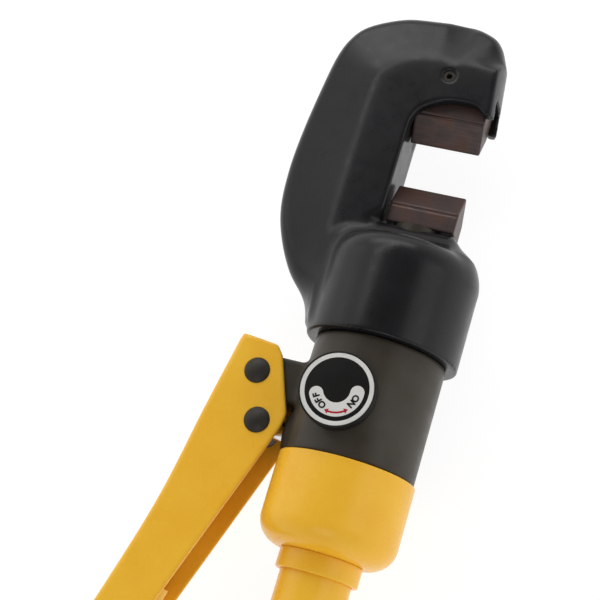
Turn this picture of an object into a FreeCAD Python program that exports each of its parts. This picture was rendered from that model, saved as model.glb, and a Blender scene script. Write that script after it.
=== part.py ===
"""Hand hydraulic crimping tool with an open C head, lying on its side.

Row frame, millimetres: Y runs along the tool towards the head, X towards the jaw's open side and Z up,
out of the release knob. The origin is the middle of the main handle's grip, on the tool's axis.
A station is a distance along the tool from the rim of the reservoir cup, towards the head.
"""
import FreeCAD, Part
import math
import os

# ---- Driving dimensions -------------------------------------------------------------------------
CUP_RIM_Y = 153.0            # Y of station zero
RUN = 0.05                   # radial clearance of a running fit
GAP = 0.3                    # gap between pieces that pass each other

BODY_R = 30.0                # cylinder body
BODY_TOP = 54.6              # station where the collar of the head begins
SPIGOT_R = 28.0              # screwed end of the body inside the collar
SPIGOT_TOP = 92.0
SOCKET_R = 27.8              # lower end of the body, screwed into the cup
SOCKET_BOTTOM = -14.0
BORE_R = 20.0                # main bore
BORE_BOTTOM = 23.0

RAM_R = 11.0
RAM_TOP = 115.0
PISTON_BOTTOM = 30.0
PISTON_TOP = 46.0
BUSH_R = 15.0                # guide bush and wiper in the web of the head
WIPER_BOTTOM = 102.0
WIPER_TOP = 106.0

COLLAR_R = 34.9
COLLAR_TOP = 104.5
COLLAR_ROUND = 10.0
FRAME_HALF = 14.0            # half thickness of the C frame
RIM_HALF = 6.0               # half thickness of its outer rim
THROAT_X = -15.0
FOOT_TOP = 113.9
SLOT_HALF = 8.3              # die slot in the upper jaw
SLOT_TOP = 182.5

DIE_HALF = 8.0
DIE_FRONT = 18.3
DIE_LAND = 0.5               # half width of the flat along each wedge's edge
FIXED_SHOULDER = 169.5
FIXED_EDGE = 158.0
MOVING_SHOULDER = 124.6
MOVING_EDGE = 135.7
STEM_X = -2.9                # stem of the fixed die
STEM_R = 5.0
STEM_TOP = 195.0
DIE_SCREW_STATION = 188.9
DIE_SCREW_R = 3.0

CUP_R = 31.0
CUP_WALL = 2.9
CUP_ROUND = 12.0
CUP_BOTTOM = -40.0
NECK_R = 18.5
NECK_BOTTOM = -49.0
TUBE_R = 16.0
TUBE_WALL = 2.5
GRIP_R = 17.5
GRIP_LENGTH = 110.0
TAIL = -208.0                # station of the tail end

PIVOT = (-49.0, 31.0)        # X and station of the lever's pivot pin
DRIVE = (-42.4, 9.3)         # X and station of the plunger's drive pin
PIN_R = 4.0
HEAD_R = 5.9
EAR_HALF = 11.0
EAR_TOP = 40.4
EAR_BOTTOM = 21.0
LEVER_HALF = 14.0            # half width over the lever's cheeks
SHEET = 2.5
LEVER_TUBE_R = 9.5
LEVER_GRIP_R = 13.0
LEVER_LEAN = 16.0            # degrees from the tool's axis
TUBE_START = (-79.6, -98.0)  # a point on the lever tube's axis, at the mouth of the channel

PLUNGER_R = 4.5
PUMP_BORE_END = -7.5
PLUNGER_TIP = -11.0
GLAND_R = 8.0
GLAND_FACE = -31.2
SEAL_POCKET = -26.0

KNOB = (-6.2, 26.3)          # X and station of the release knob
KNOB_R = 16.8
KNOB_LOW = 30.4
KNOB_FACE = 36.5
LABEL_R = 16.1
LABEL_DEPTH = 0.6
SPINDLE_R = 4.0
BALL_R = 2.0
PORT_R = 1.2

INTAKE = (-16.0, 0.0)        # X and Z of each valve's drilling
OUTLET = (-12.5, 0.0)
RELIEF = (12.0, -8.0)
VALVE_R = 4.0

X_AXIS = FreeCAD.Vector(1, 0, 0)
Y_AXIS = FreeCAD.Vector(0, 1, 0)
Z_AXIS = FreeCAD.Vector(0, 0, 1)


# ---- Helpers ------------------------------------------------------------------------------------
def at(x, station, z=0.0):
    """Point of the row frame at an X, a station along the tool and a height."""
    return FreeCAD.Vector(x, CUP_RIM_Y + station, z)


def closed(points):
    """Closed straight-sided wire through the points."""
    return Part.makePolygon(list(points) + [points[0]])


def along_y(radius, low, high, x=0.0, z=0.0):
    """Cylinder along the tool between two stations."""
    return Part.makeCylinder(radius, high - low, at(x, low, z), Y_AXIS)


def along_x(radius, low, high, station):
    """Cylinder across the tool between two X values."""
    return Part.makeCylinder(radius, high - low, at(low, station), X_AXIS)


def along_z(radius, low, high, place):
    """Upright cylinder at an (X, station) place between two heights."""
    return Part.makeCylinder(radius, high - low, at(place[0], place[1], low), Z_AXIS)


def ring_y(outer, inner, low, high, x=0.0, z=0.0):
    """Plain ring along the tool."""
    return along_y(outer, low, high, x, z).cut(along_y(inner, low - 1, high + 1, x, z))


def block(x_range, stations, z_range):
    """Box between two X values, two stations and two heights."""
    size = [high - low for low, high in (x_range, stations, z_range)]
    return Part.makeBox(*size, at(x_range[0], stations[0], z_range[0]))


def plate(wire, low, high):
    """Wire in the XY plane made a plate between two heights."""
    face = Part.Face(wire)
    face.translate(FreeCAD.Vector(0, 0, low))
    return face.extrude(FreeCAD.Vector(0, 0, high - low))


def turned(profile):
    """Solid turned about the tool's axis from (radius, station) corners."""
    face = Part.Face(closed([at(radius, station) for radius, station in profile]))
    return face.revolve(at(0, 0), Y_AXIS, 360)


def spline(points):
    """Smooth edge through (X, station) points."""
    curve = Part.BSplineCurve()
    curve.interpolate([at(x, station) for x, station in points])
    return curve.toShape()


def line(start, end):
    """Straight edge between two (X, station) points."""
    return Part.makeLine(at(*start), at(*end))


def helix_spring(radius, wire_r, low, high, turns, x=0.0, z=0.0):
    """Coil spring along the tool, its wire centres one wire radius inside each end."""
    length = high - low - 2 * wire_r
    path = Part.makeHelix(length / turns, length, radius)
    section = Part.Wire(Part.makeCircle(wire_r, FreeCAD.Vector(radius, 0, 0), Y_AXIS))
    coil = path.makePipeShell([section], True, True)
    coil.rotate(FreeCAD.Vector(0, 0, 0), X_AXIS, -90)
    coil.translate(at(x, low + wire_r, z))
    return coil


def save(name, shape):
    """Write one node's STEP file and report its volume."""
    solids = shape.Solids
    whole = solids[0] if len(solids) == 1 else Part.makeCompound(solids)
    whole.exportStep("parts/%s.step" % name)
    print("%-22s %9.0f mm3  solids %d  valid %s" % (name, whole.Volume, len(solids), whole.isValid()))


# ---- Head ---------------------------------------------------------------------------------------
def jaw_edges():
    """Edges from the nose's lower corner round the throat to the foot and the collar."""
    arch = [(18.0, 172.7), (13.1, 176.5), (6.8, 177.1), (-0.1, 176.5), (-5.0, 174.8), (-10.5, 171.7),
            (-13.3, 168.0), (-14.7, 163.6), (THROAT_X, 158.0)]
    corners = [arch[-1], (THROAT_X, FOOT_TOP), (19.0, FOOT_TOP), (34.0, 98.0), (30.0, 93.5)]
    corners += [(-29.0, 93.5), (-29.0, 59.0)]
    edges = [spline(arch)]
    edges += [line(start, end) for start, end in zip(corners, corners[1:])]
    return edges, arch[0], corners[-1]


def frame_outline(back, top, nose):
    """Closed outline of the C frame from its back, top and nose curves."""
    jaw, jaw_start, jaw_end = jaw_edges()
    edges = [line(jaw_end, back[0]), spline(back), spline(top), line(top[-1], nose), line(nose, jaw_start)]
    return Part.Wire(edges + jaw)


def c_frame():
    """C frame: flat sides inside a ridge, and a wide band that slopes down to a thinner rim."""
    ridge = frame_outline(
        [(-35.4, 64.0), (-37.0, 84.0), (-37.2, 130.0), (-37.0, 178.0)],
        [(-37.0, 178.0), (-33.3, 187.6), (-21.5, 194.8), (0.0, 196.8), (18.7, 197.4)],
        (20.8, 172.6),
    )
    rim = frame_outline(
        [(-36.8, 60.2), (-52.5, 83.0), (-64.2, 106.9), (-67.4, 132.0), (-61.4, 192.9)],
        [(-61.4, 192.9), (-49.1, 212.4), (-19.5, 220.8), (0.8, 221.0), (14.4, 214.0), (20.0, 203.0)],
        (23.0, 172.6),
    )
    levels = []
    for outline, height in ((ridge, -FRAME_HALF), (rim, -RIM_HALF), (rim, RIM_HALF), (ridge, FRAME_HALF)):
        level = outline.copy()
        level.translate(FreeCAD.Vector(0, 0, height))
        levels.append(level)
    return Part.makeLoft(levels, True, True)


def head_frame():
    """C frame and collar in one forging, with the die slot and the drillings for the ram."""
    collar = turned([(0, BODY_TOP), (COLLAR_R - 1, BODY_TOP), (COLLAR_R, BODY_TOP + 1),
                     (COLLAR_R, COLLAR_TOP - COLLAR_ROUND), (COLLAR_R - 1.3, COLLAR_TOP - 5.6),
                     (COLLAR_R - 4.2, COLLAR_TOP - 2.2), (COLLAR_R - COLLAR_ROUND, COLLAR_TOP),
                     (0, COLLAR_TOP)])
    head = collar.fuse(c_frame())
    head = head.cut(along_y(SPIGOT_R + RUN, BODY_TOP - 5, SPIGOT_TOP + RUN))
    head = head.cut(along_y(BUSH_R, SPIGOT_TOP, WIPER_TOP))
    head = head.cut(along_y(RAM_R + GAP, WIPER_TOP - 1, FOOT_TOP + 1))
    head = head.cut(block((THROAT_X - GAP, 40), (FIXED_EDGE - 1, SLOT_TOP), (-SLOT_HALF, SLOT_HALF)))
    head = head.cut(along_y(STEM_R + RUN, SLOT_TOP - 1, STEM_TOP + 0.5, STEM_X))
    head = head.cut(along_z(DIE_SCREW_R, 0, FRAME_HALF + 1, (STEM_X, DIE_SCREW_STATION)))
    return head


def wedge_die(base, shoulder, edge, back):
    """Die block with a double-bevelled working edge, running along X."""
    section = [(-DIE_HALF, base), (DIE_HALF, base), (DIE_HALF, shoulder), (DIE_LAND, edge),
               (-DIE_LAND, edge), (-DIE_HALF, shoulder)]
    face = Part.Face(closed([at(back, station, z) for z, station in section]))
    die = face.extrude(FreeCAD.Vector(DIE_FRONT - back, 0, 0))
    step = 1.6 if shoulder < base else -1.6
    for side in (-1, 1):
        groove = block((back - 1, DIE_FRONT + 1), sorted((shoulder + step, shoulder + step / 2)),
                       sorted((side * (DIE_HALF - 0.6), side * (DIE_HALF + 1))))
        die = die.cut(groove)
    return die


def fixed_die():
    """Upper die with the stem that the set screw holds."""
    die = wedge_die(SLOT_TOP - 0.1, FIXED_SHOULDER, FIXED_EDGE, THROAT_X)
    return die.fuse(along_y(STEM_R, SLOT_TOP - 1, STEM_TOP, STEM_X))


def moving_die():
    """Lower die with its stem in the ram."""
    die = wedge_die(RAM_TOP, MOVING_SHOULDER, MOVING_EDGE, THROAT_X + 1)
    stem = along_y(4.5, RAM_TOP - 12, RAM_TOP + 1).cut(ring_y(6, 3.9, RAM_TOP - 9, RAM_TOP - 7.5))
    return die.fuse(stem)


def head_set_screw():
    """Socket set screw that locks the fixed die's stem."""
    screw = along_z(DIE_SCREW_R - RUN, STEM_R + 0.1, FRAME_HALF - 1.2, (STEM_X, DIE_SCREW_STATION))
    corners = [at(STEM_X + 1.5 * math.cos(math.radians(60 * i)),
                  DIE_SCREW_STATION + 1.5 * math.sin(math.radians(60 * i)), 0) for i in range(6)]
    return screw.cut(plate(closed(corners), FRAME_HALF - 4.5, FRAME_HALF))


def guide_bush():
    """Bronze bush that guides the ram."""
    return ring_y(BUSH_R - RUN, RAM_R + RUN, SPIGOT_TOP + 0.1, WIPER_BOTTOM)


def rod_wiper():
    """Wiper ring that keeps dirt off the ram."""
    return ring_y(BUSH_R - RUN, RAM_R + RUN, WIPER_BOTTOM + 0.05, WIPER_TOP - 0.05)


# ---- Ram ----------------------------------------------------------------------------------------
def ram():
    """Piston and rod in one piece, with the seal groove and the hole for the die's stem."""
    piston = along_y(BORE_R - RUN, PISTON_BOTTOM, PISTON_TOP)
    rod = along_y(RAM_R, PISTON_TOP - 1, RAM_TOP)
    shape = piston.fuse(rod)
    shape = shape.cut(ring_y(BORE_R + 1, 16.5, 34.0, 40.0))
    shape = shape.cut(along_y(4.5 + RUN, RAM_TOP - 13, RAM_TOP + 1))
    return shape.cut(ring_y(5.6, 4, RAM_TOP - 9, RAM_TOP - 7.5))


def die_ring():
    """Spring ring that holds the moving die's stem in the ram."""
    ring = ring_y(5.5, 4.0, RAM_TOP - 8.9, RAM_TOP - 7.6)
    return ring.cut(block((0, 7), (RAM_TOP - 10, RAM_TOP - 6), (-0.8, 0.8)))


def piston_seal():
    """U-cup seal on the piston."""
    seal = ring_y(BORE_R - RUN, 16.6, 34.1, 39.9)
    return seal.cut(ring_y(18.9, 17.6, 33.0, 36.0))


# ---- Cylinder body ------------------------------------------------------------------------------
def ear():
    """Boss that carries the lever's pivot pin."""
    middle = (EAR_TOP + EAR_BOTTOM) / 2
    half = (EAR_TOP - EAR_BOTTOM) / 2
    shape = block((PIVOT[0], -15), (EAR_BOTTOM, EAR_TOP), (-EAR_HALF, EAR_HALF))
    return shape.fuse(along_z(half, -EAR_HALF, EAR_HALF, (PIVOT[0], middle)))


def valve_drillings():
    """Every drilling of the pump and the valves, as one tool shape."""
    x_in, z_in = INTAKE
    x_out, z_out = OUTLET
    x_rel, z_rel = RELIEF
    knob_floor = KNOB_LOW - 7.0
    tools = [
        along_x(PLUNGER_R + RUN, -40, PUMP_BORE_END, DRIVE[1]),
        along_x(GLAND_R, -40, SEAL_POCKET, DRIVE[1]),
        along_y(VALVE_R, SOCKET_BOTTOM - 1, 2.0, x_in, z_in),
        along_y(PORT_R, 1.0, DRIVE[1], x_in, z_in),
        along_y(PORT_R, DRIVE[1], 16.0, x_out, z_out),
        along_y(VALVE_R, 15.0, BORE_BOTTOM + 1, x_out, z_out),
        along_y(VALVE_R, SOCKET_BOTTOM - 1, 16.0, x_rel, z_rel),
        along_y(PORT_R, 15.0, BORE_BOTTOM + 1, x_rel, z_rel),
        along_z(SPINDLE_R + RUN, knob_floor - 1.0, KNOB_LOW + 1, KNOB),
        along_z(PORT_R, 15.0, knob_floor, KNOB),
    ]
    return tools


def cylinder_body():
    """Cylinder body with its bores, the pump's boss and the ear."""
    outer = turned([(0, SOCKET_BOTTOM), (SOCKET_R - 1, SOCKET_BOTTOM), (SOCKET_R, SOCKET_BOTTOM + 1),
                    (SOCKET_R, 0.1), (BODY_R, 0.1), (BODY_R, BODY_TOP - 0.05), (SPIGOT_R, BODY_TOP - 0.05),
                    (SPIGOT_R, SPIGOT_TOP - 0.1), (0, SPIGOT_TOP - 0.1)])
    body = outer.fuse(ear())
    body = body.cut(along_y(BORE_R, BORE_BOTTOM, SPIGOT_TOP + 1))
    for tool in valve_drillings():
        body = body.cut(tool)
    return body.cut(along_z(PIN_R + RUN, -EAR_HALF - 1, EAR_HALF + 1, PIVOT))


# ---- Pump ---------------------------------------------------------------------------------------
def pump_plunger():
    """Chromed plunger with the slotted eye that the drive pin works in."""
    x, station = DRIVE
    rod = along_x(PLUNGER_R, x, PLUNGER_TIP, station)
    eye = block((x - 6.5, x + 6.5), (station - 8, station + 8), (-6, 6))
    edges = [edge for edge in eye.Edges if abs(edge.tangentAt(edge.FirstParameter).z) > 0.9]
    eye = eye.makeFillet(4.0, edges)
    slot_r = PIN_R + 0.35
    slot = block((x - slot_r, x + slot_r), (station - 1.1, station + 1.1), (-7, 7))
    for shift in (-1.1, 1.1):
        slot = slot.fuse(along_z(slot_r, -7, 7, (x, station + shift)))
    return rod.fuse(eye).cut(slot)


def gland_nut():
    """Nut that holds the plunger's seal."""
    nut = along_x(GLAND_R - RUN, GLAND_FACE, -29.1, DRIVE[1])
    return nut.cut(along_x(PLUNGER_R + RUN, -40, -20, DRIVE[1]))


def plunger_seal():
    """Seal round the plunger."""
    seal = along_x(GLAND_R - RUN, -29.0, SEAL_POCKET - 0.1, DRIVE[1])
    return seal.cut(along_x(PLUNGER_R + RUN, -40, -20, DRIVE[1]))


def ball(x, station, z=0.0, radius=BALL_R):
    """Steel valve ball."""
    return Part.makeSphere(radius, at(x, station, z))


def seat_reach():
    """Distance from a seat's plane to the centre of the ball on it."""
    return math.sqrt(BALL_R ** 2 - PORT_R ** 2)


def intake_valve():
    """Seat plug, ball and spring of the intake valve, as node name and shape."""
    x, z = INTAKE
    seat = SOCKET_BOTTOM + 5.5
    centre = seat + seat_reach() + 0.02
    return {
        "intake_seat": ring_y(VALVE_R - RUN, PORT_R, SOCKET_BOTTOM, seat, x, z),
        "intake_ball": ball(x, centre, z),
        "intake_spring": helix_spring(1.8, 0.3, centre + BALL_R + 0.1, 2.0, 5, x, z),
    }


def outlet_valve():
    """Ball, spring and retainer of the outlet valve, as node name and shape."""
    x, z = OUTLET
    centre = 15.0 + seat_reach() + 0.02
    return {
        "outlet_ball": ball(x, centre, z),
        "outlet_spring": helix_spring(1.8, 0.25, centre + BALL_R + 0.1, 21.4, 3, x, z),
        "outlet_retainer": ring_y(VALVE_R - RUN, 1.0, 21.4, BORE_BOTTOM, x, z),
    }


def relief_valve():
    """Ball, spring and adjusting screw of the relief valve, as node name and shape."""
    x, z = RELIEF
    centre = 16.0 - seat_reach() - 0.02
    return {
        "relief_ball": ball(x, centre, z),
        "relief_spring": helix_spring(2.6, 0.7, -2.0, centre - BALL_R - 0.1, 6, x, z),
        "relief_screw": ring_y(VALVE_R - RUN, 1.2, -9.0, -2.0, x, z),
    }


# ---- Release valve ------------------------------------------------------------------------------
def release_knob():
    """Round knob with a recess for its label and a hub over the spindle."""
    knob = along_z(KNOB_R, KNOB_LOW, KNOB_FACE, KNOB)
    knob = knob.makeChamfer(0.3, [edge for edge in knob.Edges if edge.Length > 6 * KNOB_R
                                  and edge.BoundBox.ZMin > KNOB_LOW + 1])
    knob = knob.cut(along_z(LABEL_R + RUN, KNOB_FACE - LABEL_DEPTH, KNOB_FACE + 1, KNOB))
    return knob.cut(along_z(SPINDLE_R - 1, KNOB_LOW - 1, KNOB_LOW + 4, KNOB))


def knob_label():
    """Printed disc in the knob's face."""
    return along_z(LABEL_R, KNOB_FACE - LABEL_DEPTH + 0.02, KNOB_FACE, KNOB)


def release_spindle():
    """Spindle from the knob to the release ball, with an O-ring groove."""
    spindle = along_z(SPINDLE_R, 26.5, KNOB_LOW - 0.02, KNOB)
    spindle = spindle.fuse(along_z(SPINDLE_R - 1.05, KNOB_LOW - 1, KNOB_LOW + 3.9, KNOB))
    groove = along_z(SPINDLE_R + 1, 27.4, 28.9, KNOB).cut(along_z(2.7, 27, 30, KNOB))
    return spindle.cut(groove)


def spindle_o_ring():
    """O-ring on the spindle."""
    return Part.makeTorus(3.35, 0.63, at(KNOB[0], KNOB[1], 28.15), Z_AXIS)


def release_ball():
    """Ball that the spindle presses on the release port."""
    return ball(KNOB[0], KNOB[1], 26.5 - BALL_R - 0.05)


# ---- Lever --------------------------------------------------------------------------------------
def lever_outline():
    """Side view of the pressed channel."""
    back = [(-61.7, 44.0), (-68.1, 9.8), (-76.6, -38.0), (-93.0, -98.0)]
    front = [(-71.8, -104.0), (-31.3, 9.0), (-30.4, 15.0), (-40.0, 40.4), (-43.4, 44.8), (-60.6, 46.8)]
    corners = [back[-1]] + front + [back[0]]
    edges = [spline(back)]
    edges += [line(start, end) for start, end in zip(corners, corners[1:])]
    return Part.Wire(edges)


def lever_hollow():
    """Inside of the channel, open at the front and at the lower end."""
    wall = SHEET * 1.02
    back = [(-61.7 + wall, 52.0), (-68.1 + wall, 9.8), (-76.6 + wall, -38.0), (-93.0 + wall, -98.0)]
    corners = [back[-1], (-94.6 + wall, -110.0), (0.0, -110.0), (0.0, 52.0), back[0]]
    edges = [spline(back)]
    edges += [line(start, end) for start, end in zip(corners, corners[1:])]
    return Part.Wire(edges)


def lever_channel():
    """Pressed steel channel with the holes for both pins."""
    outer = plate(lever_outline(), -LEVER_HALF, LEVER_HALF)
    back_edges = [edge for edge in outer.Edges if edge.Length > 100 and edge.BoundBox.ZLength < 1
                  and edge.BoundBox.XMax < -55]
    outer = outer.makeFillet(3.0, back_edges)
    inner = LEVER_HALF - SHEET
    channel = outer.cut(plate(lever_hollow(), -inner, inner))
    for pin in (PIVOT, DRIVE):
        channel = channel.cut(along_z(PIN_R, -LEVER_HALF - 1, LEVER_HALF + 1, pin))
    return channel


def lever_point(distance):
    """Point on the lever tube's axis, so far below the mouth of the channel."""
    lean = math.radians(LEVER_LEAN)
    x, station = TUBE_START
    return at(x - distance * math.sin(lean), station - distance * math.cos(lean))


def along_lever(radius, start, end):
    """Cylinder on the lever tube's axis."""
    base = lever_point(start)
    return Part.makeCylinder(radius, end - start, base, lever_point(end) - base)


def lever_tube():
    """Tube welded into the channel."""
    return along_lever(LEVER_TUBE_R, -30, 106).cut(along_lever(LEVER_TUBE_R - 2, -31, 107))


def lever_grip():
    """Rubber sleeve on the lever tube, closed at its end."""
    grip = along_lever(LEVER_GRIP_R, 8, 110)
    grip = grip.makeFillet(2.5, [edge for edge in grip.Edges if edge.Length > 6 * LEVER_GRIP_R
                                 and edge.Curve.TypeId == "Part::GeomCircle"])
    return grip.cut(along_lever(LEVER_TUBE_R + RUN, 7, 106.1))


def headed_pin(place):
    """Pin with a domed head above the upper cheek and a groove for its clip below the lower one."""
    shank = along_z(PIN_R, -LEVER_HALF - 3.2, LEVER_HALF + 0.5, place)
    shank = shank.cut(along_z(6, -LEVER_HALF - 1.7, -LEVER_HALF - 0.6, place)
                      .cut(along_z(3.2, -LEVER_HALF - 3, -LEVER_HALF + 1, place)))
    dome_r = 9.5
    rise = 2.4
    dome = Part.makeSphere(dome_r, at(place[0], place[1], LEVER_HALF + rise - dome_r))
    head = along_z(HEAD_R, LEVER_HALF + 0.02, LEVER_HALF + rise, place).common(dome)
    return shank.fuse(head)


def pin_clips():
    """Snap clips on the lower ends of both pins, one solid each."""
    clips = []
    for place in (PIVOT, DRIVE):
        clip = along_z(6.2, -LEVER_HALF - 1.6, -LEVER_HALF - 0.7, place)
        clip = clip.cut(along_z(3.25, -LEVER_HALF - 3, -LEVER_HALF, place))
        clips.append(clip.cut(block((place[0], place[0] + 8), (place[1] - 1.8, place[1] + 1.8), (-18, -10))))
    return Part.makeCompound(clips)


# ---- Handle and reservoir -----------------------------------------------------------------------
def rounded_cup(radius, bottom, corner, top):
    """Solid cup shape: straight side and a rounded lower corner."""
    shape = along_y(radius, bottom, top)
    edges = [edge for edge in shape.Edges if edge.BoundBox.YMax < CUP_RIM_Y + bottom + 0.1]
    return shape.makeFillet(corner, edges)


def reservoir_cup():
    """Cast cup below the body, open into the neck."""
    cup = rounded_cup(CUP_R, CUP_BOTTOM, CUP_ROUND, 0.0)
    inside = rounded_cup(CUP_R - CUP_WALL - 0.2, CUP_BOTTOM + CUP_WALL, CUP_ROUND - CUP_WALL, 1.0)
    return cup.cut(inside).cut(along_y(TUBE_R + RUN, CUP_BOTTOM - 1, -30))


def neck_ring():
    """Ring below the cup that clamps the handle tube."""
    ring = along_y(NECK_R, NECK_BOTTOM, CUP_BOTTOM - 0.02)
    ring = ring.makeChamfer(0.8, [ring.Edges[i] for i in range(3) if ring.Edges[i].Length > 6 * NECK_R
                                  and ring.Edges[i].BoundBox.YMax < CUP_RIM_Y + NECK_BOTTOM + 0.1])
    return ring.cut(along_y(TUBE_R + RUN, NECK_BOTTOM - 1, CUP_BOTTOM + 1))


def handle_tube():
    """Main handle tube."""
    return ring_y(TUBE_R, TUBE_R - TUBE_WALL, TAIL + 4, CUP_BOTTOM + CUP_WALL)


def handle_grip():
    """Rubber sleeve on the main handle."""
    return ring_y(GRIP_R, TUBE_R + RUN, TAIL, TAIL + GRIP_LENGTH)


def end_plug():
    """Plastic plug in the tail of the handle tube."""
    flange = along_y(TUBE_R - 0.5, TAIL, TAIL + 3.9)
    return flange.fuse(along_y(TUBE_R - TUBE_WALL - RUN, TAIL + 3, TAIL + 16))


def oil_bladder():
    """Rubber bag that holds the oil inside the cup."""
    bag = rounded_cup(25.0, -36.0, 9.0, SOCKET_BOTTOM - 0.1)
    inside = rounded_cup(23.0, -34.0, 7.0, SOCKET_BOTTOM + 1)
    return bag.cut(inside).cut(along_y(4.0, -37, -33))


def bladder_ring():
    """Ring that clamps the mouth of the bladder to the body."""
    return ring_y(27.4, 25.1, SOCKET_BOTTOM - 4.0, SOCKET_BOTTOM - 0.1)


def fill_plug():
    """Oil filler plug in the bottom of the bladder."""
    plug = along_y(6.5, -38.6, -36.1).fuse(along_y(3.95, -36.2, -33.5))
    return plug.cut(block((-5, 5), (-39, -37.4), (-0.8, 0.8)))


def suction_screen():
    """Fine screen below the intake valve."""
    x, z = INTAKE
    return along_y(6.0, SOCKET_BOTTOM - 1.6, SOCKET_BOTTOM - 0.1, x, z)


def return_spring():
    """Return spring between the piston and the guide bush."""
    return helix_spring(15.0, 1.6, PISTON_TOP + 0.1, SPIGOT_TOP - 0.1, 6)


def main():
    """Make every node."""
    os.makedirs("parts", exist_ok=True)
    makers = [head_frame, fixed_die, moving_die, head_set_screw, guide_bush, rod_wiper, ram, die_ring,
              piston_seal, return_spring, cylinder_body, pump_plunger, gland_nut, plunger_seal,
              release_knob, knob_label, release_spindle, spindle_o_ring, release_ball, lever_channel,
              lever_tube, lever_grip, pin_clips, reservoir_cup, neck_ring, handle_tube, handle_grip,
              end_plug, oil_bladder, bladder_ring, fill_plug, suction_screen]
    for make in makers:
        save(make.__name__, make())
    save("pivot_pin", headed_pin(PIVOT))
    save("drive_pin", headed_pin(DRIVE))
    for valve in (intake_valve(), outlet_valve(), relief_valve()):
        for name, shape in valve.items():
            save(name, shape)


main()
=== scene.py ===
"""Looks of a hand-pumped hydraulic crimping tool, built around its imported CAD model.

Builders work in millimetres in the part's own frame: X towards the open side of the jaw, Z up out of
the release knob, and a station measured along Y from the rim of the reservoir cup towards the head.
Meshes are turned to metres when they are made.
"""
from __future__ import annotations

import logging
import math
from dataclasses import dataclass, field
from enum import Enum
from typing import Sequence

import bpy
import numpy as np
from mathutils import Matrix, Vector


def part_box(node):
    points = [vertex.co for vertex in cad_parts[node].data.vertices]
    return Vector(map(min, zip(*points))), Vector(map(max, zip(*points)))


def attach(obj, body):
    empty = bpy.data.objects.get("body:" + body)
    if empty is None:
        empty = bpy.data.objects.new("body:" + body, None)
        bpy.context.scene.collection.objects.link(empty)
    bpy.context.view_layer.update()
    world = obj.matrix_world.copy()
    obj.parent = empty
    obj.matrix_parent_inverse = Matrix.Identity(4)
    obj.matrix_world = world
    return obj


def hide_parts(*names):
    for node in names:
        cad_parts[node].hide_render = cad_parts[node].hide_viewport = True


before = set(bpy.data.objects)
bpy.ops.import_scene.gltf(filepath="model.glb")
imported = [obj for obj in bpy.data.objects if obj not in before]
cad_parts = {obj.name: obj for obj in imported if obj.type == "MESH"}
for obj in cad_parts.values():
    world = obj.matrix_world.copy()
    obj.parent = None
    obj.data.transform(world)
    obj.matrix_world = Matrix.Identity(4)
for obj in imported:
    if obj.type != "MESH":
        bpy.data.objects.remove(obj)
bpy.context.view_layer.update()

LOG = logging.getLogger("crimping_tool")
MM = 0.001
CUP_RIM_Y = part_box("reservoir_cup")[1][1] / MM

Array = np.ndarray
Points = Sequence[tuple[float, float]]


class Body(Enum):
    """Moving bodies that a piece can ride on."""

    FRAME = "frame"
    RAM = "ram"
    LEVER = "lever"
    PLUNGER = "plunger"
    RELEASE = "release_valve"


class Turning(Enum):
    """Directions that a turned piece's axis can have."""

    ALONG = (0.0, 1.0, 0.0)
    UP = (0.0, 0.0, 1.0)
    ACROSS = (1.0, 0.0, 0.0)
    LEANING = (-math.sin(math.radians(16.0)), -math.cos(math.radians(16.0)), 0.0)


# ---- Shader helpers -----------------------------------------------------------------------------
def colour(code: str) -> tuple[float, float, float, float]:
    """Turn an sRGB hex code into linear red, green, blue and alpha.

    Args:
        code: Six hex digits after a hash.

    Returns:
        Linear components with an alpha of one.
    """
    parts = np.array([int(code[i:i + 2], 16) for i in (1, 3, 5)]) / 255.0
    linear = np.where(parts <= 0.04045, parts / 12.92, ((parts + 0.055) / 1.055) ** 2.4)
    return (*map(float, linear), 1.0)


def add_node(tree: bpy.types.NodeTree, kind: str, inputs: dict | None = None, **settings) -> bpy.types.Node:
    """Add one shader node with its settings, input values and links.

    Args:
        tree: Node tree that takes the node.
        kind: Node type, without its "ShaderNode" prefix.
        inputs: Input name or number to a value, or to the output socket that feeds it.
        **settings: Properties of the node.

    Returns:
        The new node.
    """
    node = tree.nodes.new("ShaderNode" + kind)
    for name, value in settings.items():
        setattr(node, name, value)
    for name, value in (inputs or {}).items():
        if isinstance(value, bpy.types.NodeSocket):
            tree.links.new(value, node.inputs[name])
        else:
            node.inputs[name].default_value = value
    return node


def ramp(tree: bpy.types.NodeTree, factor: bpy.types.NodeSocket,
         stops: Sequence[tuple[float, str]]) -> bpy.types.NodeSocket:
    """Colour ramp through hex colours.

    Args:
        tree: Node tree that takes the ramp.
        factor: Socket that drives it.
        stops: Positions and hex colours, in order.

    Returns:
        The ramp's colour socket.
    """
    node = add_node(tree, "ValToRGB", {0: factor})
    elements = node.color_ramp.elements
    while len(elements) < len(stops):
        elements.new(0.5)
    for element, (place, code) in zip(elements, stops):
        element.position = place
        element.color = colour(code)
    return node.outputs[0]


def per_millimetre(size: float) -> float:
    """Noise scale in object metres whose features are about so many millimetres across."""
    return 1.0 / (size * MM)


@dataclass(frozen=True)
class Finish:
    """What every finish shares: a name and the steps that make its material."""

    name: str

    def material(self) -> bpy.types.Material:
        """Make the material with its principled shader and its own pattern."""
        made = bpy.data.materials.new(self.name)
        made.use_nodes = True
        tree = made.node_tree
        place = add_node(tree, "TexCoord").outputs["Object"]
        self.dress(tree, tree.nodes["Principled BSDF"], place)
        return made

    def dress(self, tree: bpy.types.NodeTree, shader: bpy.types.Node, place: bpy.types.NodeSocket) -> None:
        """Add the finish's own nodes. Each kind of finish has its own version."""
        raise NotImplementedError


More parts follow.
